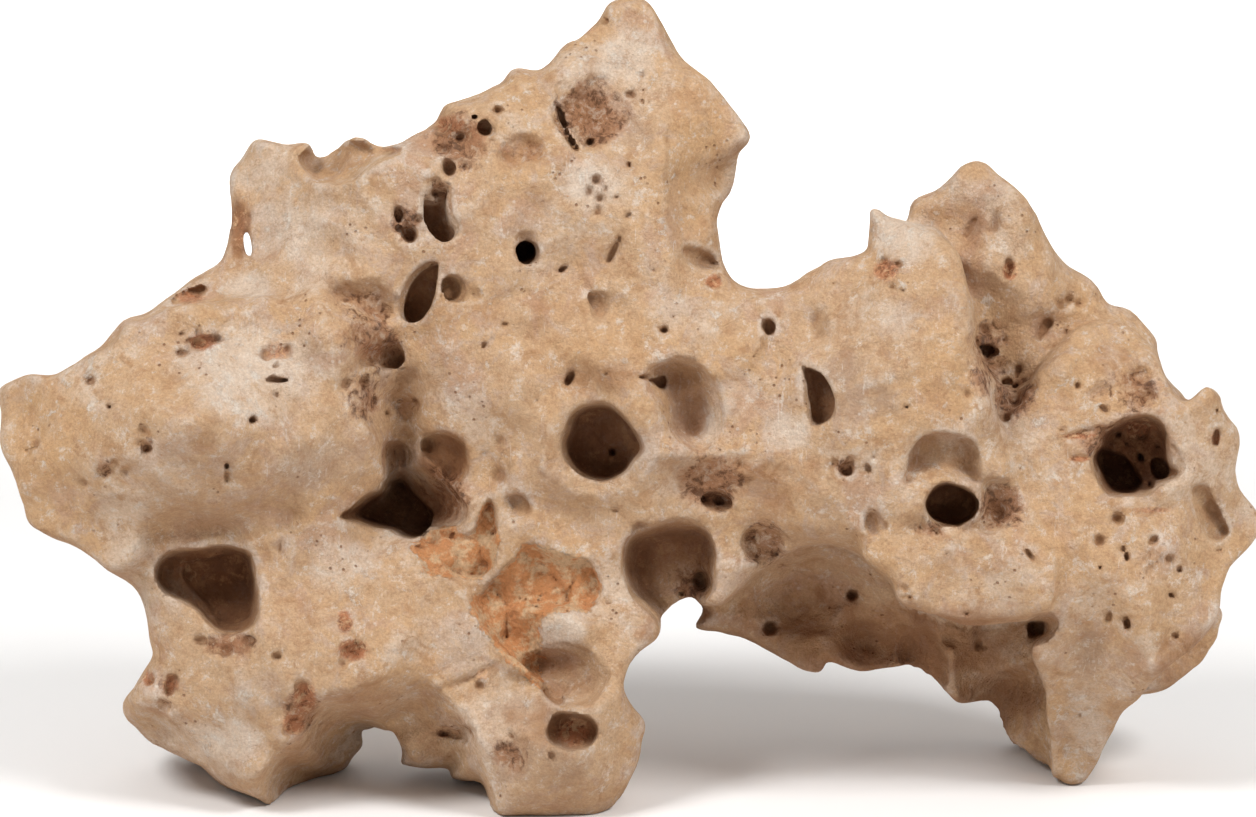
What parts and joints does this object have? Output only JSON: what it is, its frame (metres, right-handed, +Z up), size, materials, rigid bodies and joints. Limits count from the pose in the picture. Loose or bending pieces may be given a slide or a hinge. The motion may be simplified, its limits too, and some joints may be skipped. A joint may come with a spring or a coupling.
{
  "type": "holey rock",
  "caption": "Weathered cream limestone aquascape rock with a peak, an overhang and many solution holes, standing on its own blunt toes.",
  "frame": {"origin": "centre of the rock's box, on the surface it stands on", "axes": "+X along its length, to the right as seen from its holey front, +Y to its back, +Z up"},
  "size_m": [0.3808, 0.1408, 0.238],
  "materials": {
    "limestone": "matt, water-worn cream limestone with chalky patches, brown hollows, rust stains and crumbly orange clay"
  },
  "bodies": {
    "root": {"rock": "limestone"}
  },
  "joints": []
}
